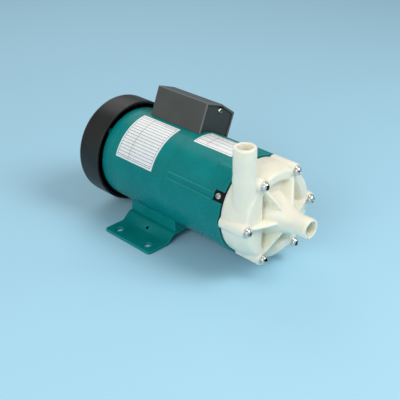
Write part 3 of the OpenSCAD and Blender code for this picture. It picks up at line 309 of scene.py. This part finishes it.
def rounded(node, radius, segments=2, least_turn=50.0, flat_turn=0.4, seam=0.005 * MM):
    """Piece in the shape of a node, with its sharp outer edges rounded and marked as edge.

    An edge is sharp where the surface turns by more than least_turn, and gone where by less than flat_turn.
    """
    mesh = node_mesh(node, seam)
    bmesh.ops.dissolve_limit(mesh, angle_limit=math.radians(flat_turn), verts=mesh.verts, edges=mesh.edges)
    sharp = math.radians(least_turn)
    edges = [
        edge for edge in mesh.edges
        if len(edge.link_faces) == 2 and edge.is_convex and edge.calc_face_angle() > sharp
    ]
    edge_layer = mesh.faces.layers.float.new("edge")
    bevel = bmesh.ops.bevel(
        mesh, geom=edges, offset=radius, segments=segments, profile=0.5, affect="EDGES",
        clamp_overlap=False,
    )
    # The bevel faces carry the edge mark, where a finish paints its highlight.
    for face in bevel["faces"]:
        face[edge_layer] = 1.0
    bmesh.ops.triangulate(mesh, faces=[face for face in mesh.faces if len(face.verts) > 4])
    piece = smooth_object(node + "_form", mesh)
    piece.modifiers.new("normals", "WEIGHTED_NORMAL").keep_sharp = True
    dress(piece, node)


# Edge radius of each visible hard piece, in millimetres
EDGE_RADIUS = {
    "motor_frame": 0.5, "rear_end_shield": 0.4, "front_housing": 0.5, "foot": 0.6, "fan_cover": 0.6,
    "terminal_box_lid": 0.95, "terminal_box_base": 0.6, "adapter_ring": 0.3,
    "casing_screws": 0.15, "casing_washers": 0.2, "adapter_screws": 0.2, "lid_screws": 0.2,
    "cable_gland_body": 0.3, "cable_gland_nut": 0.3, "fan_cover_screws": 0.2,
}
for node, edge_radius in EDGE_RADIUS.items():
    rounded(node, edge_radius * MM)

moulded("front_casing", cell=0.55 * MM, passes=12, share=0.4)

for node, solid in frame["nodes"].items():
    paint(solid, node)


# Floor, light and camera

FLOOR_HALF = 6.0
FLOOR_DROP = 0.05 * MM
FLOOR_COLOUR = (0.40, 0.70, 0.87)
FLOOR_MOTTLE = 0.985
FLOOR_CORNERS = ((-1, -1), (1, -1), (1, 1), (-1, 1))

floor_mesh = bpy.data.meshes.new("floor")
floor_mesh.from_pydata(
    [(x * FLOOR_HALF, y * FLOOR_HALF, -FLOOR_DROP) for x, y in FLOOR_CORNERS], [], [(0, 1, 2, 3)],
)
floor_dark = tuple(FLOOR_MOTTLE * part for part in FLOOR_COLOUR)
floor_mesh.materials.append(
    finish("floor_paper", floor_dark, FLOOR_COLOUR, (0.70, 0.75), mottle=3, grain=200, relief=0.0)
)
floor = bpy.data.objects.new("floor", floor_mesh)
bpy.context.scene.collection.objects.link(floor)

# Even light from above and around, which takes on the colour of the far floor towards the horizon.
# Haze top is the sine of the elevation where that starts.
SKY_COLOUR = (1.0, 0.98, 0.95)
SKY_STRENGTH = 0.32
HAZE_TOP = 0.25

world = bpy.data.worlds.new("studio")
bpy.context.scene.world = world
world.use_nodes = True
sky_tree = world.node_tree
sky = sky_tree.nodes["Background"]
direction = add(sky_tree, "ShaderNodeTexCoord").outputs["Generated"]
height = add(sky_tree, "ShaderNodeSeparateXYZ", {0: direction}).outputs["Z"]
haze = tuple(light * paper for light, paper in zip(SKY_COLOUR, FLOOR_COLOUR))
sky_light = colours(sky_tree, height, haze, SKY_COLOUR, start=0.0, stop=HAZE_TOP)
sky_tree.links.new(sky_light, sky.inputs["Color"])
sky.inputs["Strength"].default_value = SKY_STRENGTH

# Lamps stand this far from the point that they face
LAMP_AIM = Vector((40 * MM, 0.0, SHAFT_H))
LAMP_DISTANCE = 1.2


def bearing(azimuth, elevation):
    """Direction from the object, by angles in degrees. Azimuth 0 is at -Y and 90 at +X."""
    turn, rise = math.radians(azimuth), math.radians(elevation)
    return Vector((math.sin(turn) * math.cos(rise), -math.cos(turn) * math.cos(rise), math.sin(rise)))


def softbox(name, azimuth, elevation, size, power):
    """Square area light that faces the object."""
    back = bearing(azimuth, elevation)
    data = bpy.data.lights.new(name, "AREA")
    data.size = size
    data.energy = power
    lamp = bpy.data.objects.new(name, data)
    lamp.location = LAMP_AIM + back * LAMP_DISTANCE
    lamp.rotation_mode = "QUATERNION"
    lamp.rotation_quaternion = back.to_track_quat("Z", "Y")
    bpy.context.scene.collection.objects.link(lamp)


softbox("key", azimuth=20, elevation=30, size=0.6, power=5.4)
softbox("side", azimuth=112, elevation=48, size=0.55, power=8.0)
softbox("fill", azimuth=-35, elevation=15, size=1.2, power=1.8)
softbox("rim", azimuth=-115, elevation=42, size=0.8, power=2.5)

# Camera fitted to the photograph: place in metres, angles in degrees, lens in millimetres
CAMERA_PLACE = (0.5098, -0.4539, 0.3923)
CAMERA_AZIMUTH, CAMERA_ELEVATION, CAMERA_ROLL = 46.35, 28.65, -1.12
CAMERA_LENS = 72.94

camera_data = bpy.data.cameras.new("camera")
camera_data.sensor_width = 36.0
camera_data.lens = CAMERA_LENS
camera_data.clip_start = 0.01
camera = bpy.data.objects.new("camera", camera_data)
back = bearing(CAMERA_AZIMUTH, CAMERA_ELEVATION)
right = bearing(CAMERA_AZIMUTH + 90, 0)
up = back.cross(right)
roll = math.radians(CAMERA_ROLL)
across = math.cos(roll) * right + math.sin(roll) * up
upward = -math.sin(roll) * right + math.cos(roll) * up
axes = Matrix((across, upward, back)).transposed()
camera.matrix_world = Matrix.Translation(CAMERA_PLACE) @ axes.to_4x4()
bpy.context.scene.collection.objects.link(camera)
bpy.context.scene.camera = camera
